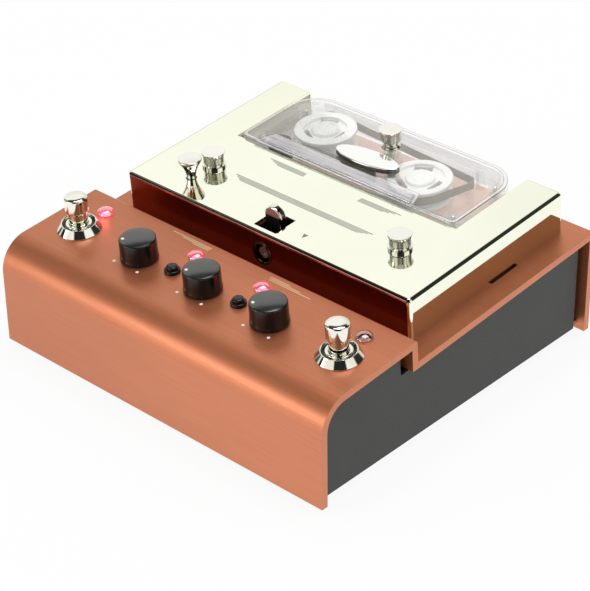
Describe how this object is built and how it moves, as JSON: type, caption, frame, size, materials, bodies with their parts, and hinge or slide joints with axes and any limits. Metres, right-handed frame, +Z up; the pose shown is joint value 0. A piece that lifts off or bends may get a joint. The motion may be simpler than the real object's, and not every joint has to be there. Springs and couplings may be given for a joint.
{
  "type": "tape echo unit",
  "caption": "Low floor-standing tape echo: folded sheet case with footswitches, knobs and lamps in front, a polished tape deck cover behind and a clear lift-out tape loop cassette.",
  "frame": {"origin": "under the middle of the unit on the surface that the feet stand on, halfway between the front skirt and the jack nuts", "axes": "+X to the player's right, +Y to the back, +Z up"},
  "size_m": [0.18, 0.1724, 0.077],
  "materials": {
    "copper_anodised": "satin brushed",
    "cheek_grey": "satin",
    "plate_zinc": "satin",
    "mirror_nickel": "polished",
    "liner_black": "matt",
    "chrome": "polished",
    "steel": "turned",
    "nickel_knurl": "knurled",
    "black_plastic": "semi gloss",
    "rubber": "matt",
    "belt_rubber": "matt",
    "lamp_clear": "clear",
    "led_red": "clear red",
    "cassette_clear": "clear",
    "reel_white": "gloss",
    "tape_brown": "satin",
    "badge_silver": "satin",
    "brass": "turned",
    "board_green": "solder mask",
    "head_metal": "lapped"
  },
  "bodies": {
    "unit": {"top_shell": "copper_anodised", "side_panel_left": "cheek_grey", "side_panel_right": "cheek_grey", "base_plate": "plate_zinc", "base_screws": "steel", "rubber_feet": "rubber", "deck_cover": "mirror_nickel", "bay_liner": "liner_black", "deck_posts": "brass", "lock_guide": "black_plastic", "front_screw": "steel", "lamp_lenses": "lamp_clear", "lamp_leds": "led_red", "potentiometers": "steel", "footswitch_bodies": "chrome", "footswitch_nuts": "chrome", "push_switches": "black_plastic", "motor": "steel", "capstan_bearing": "brass", "transport_bridge": "plate_zinc", "bridge_posts": "brass", "head_bridge": "plate_zinc", "erase_head": "head_metal", "record_head": "head_metal", "playback_heads": "head_metal", "main_board": "board_green", "control_board": "board_green", "jack_sockets": "black_plastic", "jack_nuts": "chrome", "power_inlet": "black_plastic", "drive_belt": "belt_rubber"},
    "footswitch_left": {"footswitch_button_left": "chrome"},
    "footswitch_right": {"footswitch_button_right": "chrome"},
    "push_left": {"push_cap_left": "black_plastic"},
    "push_right": {"push_cap_right": "black_plastic"},
    "thumbscrew_left": {"thumbscrew_left": "nickel_knurl"},
    "thumbscrew_right": {"thumbscrew_right": "nickel_knurl"},
    "release": {"release_knob": "nickel_knurl"},
    "lock": {"lock_tab": "plate_zinc", "lock_slide": "plate_zinc"},
    "cassette": {"case_bottom": "cassette_clear", "case_top": "cassette_clear", "case_screws": "steel", "guide_posts": "cassette_clear", "tape_loop": "tape_brown", "case_badge": "badge_silver"},
    "cassette_screw": {"cassette_screw": "nickel_knurl"},
    "reel_left": {"reel_left": "reel_white"},
    "reel_right": {"reel_right": "reel_white"},
    "pinch": {"pinch_roller": "rubber"},
    "flywheel": {"flywheel": "brass", "capstan": "steel"},
    "pulley": {"motor_pulley": "brass"},
    "knob_left": {"knob_left": "black_plastic", "pot_shaft_left": "steel"},
    "knob_middle": {"knob_middle": "black_plastic", "pot_shaft_middle": "steel"},
    "knob_right": {"knob_right": "black_plastic", "pot_shaft_right": "steel"}
  },
  "joints": [
    {"name": "footswitch_left_press", "type": "slide", "parent": "unit", "child": "footswitch_left", "axis": [0, 0.0715, -0.9974], "range_m": [0, 0.003], "stiffness_N_per_m": 2000, "springref_m": -0.002},
    {"name": "push_left_press", "type": "slide", "parent": "unit", "child": "push_left", "axis": [0, 0.0715, -0.9974], "range_m": [0, 0.001], "stiffness_N_per_m": 600, "springref_m": -0.001},
    {"name": "thumbscrew_left_turn", "type": "hinge", "parent": "unit", "child": "thumbscrew_left", "pos_m": [-0.0521, 0.00302, 0.06274], "axis": [0, -0.0715, 0.9974], "range_deg": [0, 1080]},
    {"name": "footswitch_right_press", "type": "slide", "parent": "unit", "child": "footswitch_right", "axis": [0, 0.0715, -0.9974], "range_m": [0, 0.003], "stiffness_N_per_m": 2000, "springref_m": -0.002},
    {"name": "push_right_press", "type": "slide", "parent": "unit", "child": "push_right", "axis": [0, 0.0715, -0.9974], "range_m": [0, 0.001], "stiffness_N_per_m": 600, "springref_m": -0.001},
    {"name": "thumbscrew_right_turn", "type": "hinge", "parent": "unit", "child": "thumbscrew_right", "pos_m": [0.0521, 0.00302, 0.06274], "axis": [0, -0.0715, 0.9974], "range_deg": [0, 1080]},
    {"name": "knob_left_turn", "type": "hinge", "parent": "unit", "child": "knob_left", "pos_m": [-0.0366, -0.05701, 0.04987], "axis": [0, -0.0715, 0.9974], "range_deg": [-280, 0]},
    {"name": "knob_middle_turn", "type": "hinge", "parent": "unit", "child": "knob_middle", "pos_m": [0, -0.05701, 0.04987], "axis": [0, -0.0715, 0.9974], "range_deg": [-280, 0]},
    {"name": "knob_right_turn", "type": "hinge", "parent": "unit", "child": "knob_right", "pos_m": [0.0366, -0.05701, 0.04987], "axis": [0, -0.0715, 0.9974], "range_deg": [-280, 0]},
    {"name": "release_pull", "type": "slide", "parent": "unit", "child": "release", "axis": [0, -0.0715, 0.9974], "range_m": [0, 0.004], "stiffness_N_per_m": 400, "springref_m": -0.002},
    {"name": "lock_slide_forward", "type": "slide", "parent": "unit", "child": "lock", "axis": [0, -0.9974, -0.0715], "range_m": [0, 0.006]},
    {"name": "cassette_lift", "type": "slide", "parent": "unit", "child": "cassette", "axis": [0, -0.0715, 0.9974], "range_m": [0, 0.028]},
    {"name": "cassette_screw_turn", "type": "hinge", "parent": "cassette", "child": "cassette_screw", "pos_m": [0, 0.05838, 0.06812], "axis": [0, -0.0715, 0.9974], "range_deg": [0, 1080]},
    {"name": "flywheel_spin", "type": "hinge", "parent": "unit", "child": "flywheel", "pos_m": [-0.044, 0.03076, 0.03786], "axis": [0, -0.0715, 0.9974], "continuous": true},
    {"name": "pulley_spin", "type": "hinge", "parent": "unit", "child": "pulley", "pos_m": [0.014, 0.03076, 0.03786], "axis": [0, -0.0715, 0.9974], "continuous": true},
    {"name": "pinch_spin", "type": "hinge", "parent": "cassette", "child": "pinch", "pos_m": [-0.044, 0.03598, 0.06029], "axis": [0, -0.0715, 0.9974], "continuous": true},
    {"name": "reel_left_spin", "type": "hinge", "parent": "cassette", "child": "reel_left", "pos_m": [-0.035, 0.05553, 0.06169], "axis": [0, -0.0715, 0.9974], "continuous": true},
    {"name": "reel_right_spin", "type": "hinge", "parent": "cassette", "child": "reel_right", "pos_m": [0.0238, 0.04955, 0.06127], "axis": [0, -0.0715, 0.9974], "continuous": true}
  ],
  "couplings": [
    {"joint": "pulley_spin", "follows": "flywheel_spin", "ratio": 4.9823},
    {"joint": "pinch_spin", "follows": "flywheel_spin", "ratio": -0.25},
    {"joint": "reel_left_spin", "follows": "flywheel_spin", "ratio": -0.11468},
    {"joint": "reel_right_spin", "follows": "flywheel_spin", "ratio": -0.10504}
  ]
}
